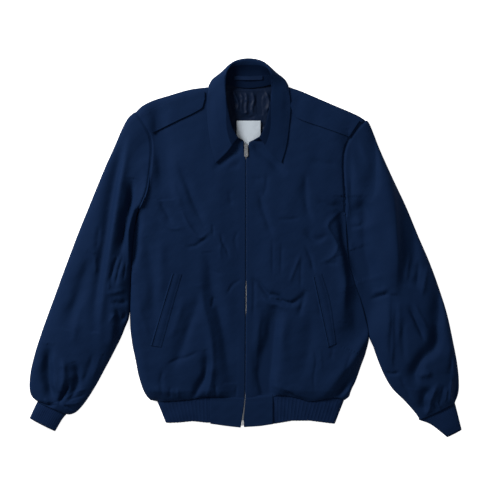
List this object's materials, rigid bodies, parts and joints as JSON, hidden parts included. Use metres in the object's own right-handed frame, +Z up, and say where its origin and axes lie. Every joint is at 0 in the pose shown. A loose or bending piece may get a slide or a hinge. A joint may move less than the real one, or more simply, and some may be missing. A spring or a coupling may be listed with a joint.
{
  "type": "jacket",
  "caption": "Navy zip-front jacket laid flat, front up, with turned-down collar, stitched shoulder straps, slanted welt pockets and ribbed cuffs and waistband.",
  "frame": {"origin": "on the flat underside of the back panel, near the middle of the garment, at the surface it lies on", "axes": "+X across the shoulders towards the wearer's left sleeve, +Y towards the collar, +Z up out of the front"},
  "size_m": [0.908, 0.7921, 0.029],
  "materials": {
    "shell": "matte navy woven cloth with a soft sheen",
    "knit": "matte navy rib knit",
    "satin": "dark navy satin",
    "label": "pale grey-blue woven label, bare",
    "tape": "matte navy woven tape",
    "zip_metal": "polished silver-coloured metal"
  },
  "bodies": {
    "garment": {"back": "shell", "front_right": "shell", "front_left": "shell", "sleeve_right": "shell", "sleeve_left": "shell", "cuff_right": "knit", "cuff_left": "knit", "waist_rib": "knit", "waist_tab_right": "shell", "waist_tab_left": "shell", "collar": "shell", "lining": "satin", "label": "label", "hanger_loop": "satin", "strap_right": "shell", "strap_left": "shell", "welt_right": "shell", "welt_left": "shell", "zip_tape_right": "tape", "zip_tape_left": "tape", "zip_chain": "zip_metal", "zip_slider": "zip_metal"},
    "pull_tab": {"zip_pull_tab": "zip_metal"}
  },
  "joints": [
    {"name": "pull_tab_hinge", "type": "hinge", "parent": "garment", "child": "pull_tab", "pos_m": [-0.004, 0.2146, 0.01547], "axis": [-1, 0, 0], "range_deg": [0, 165]}
  ]
}
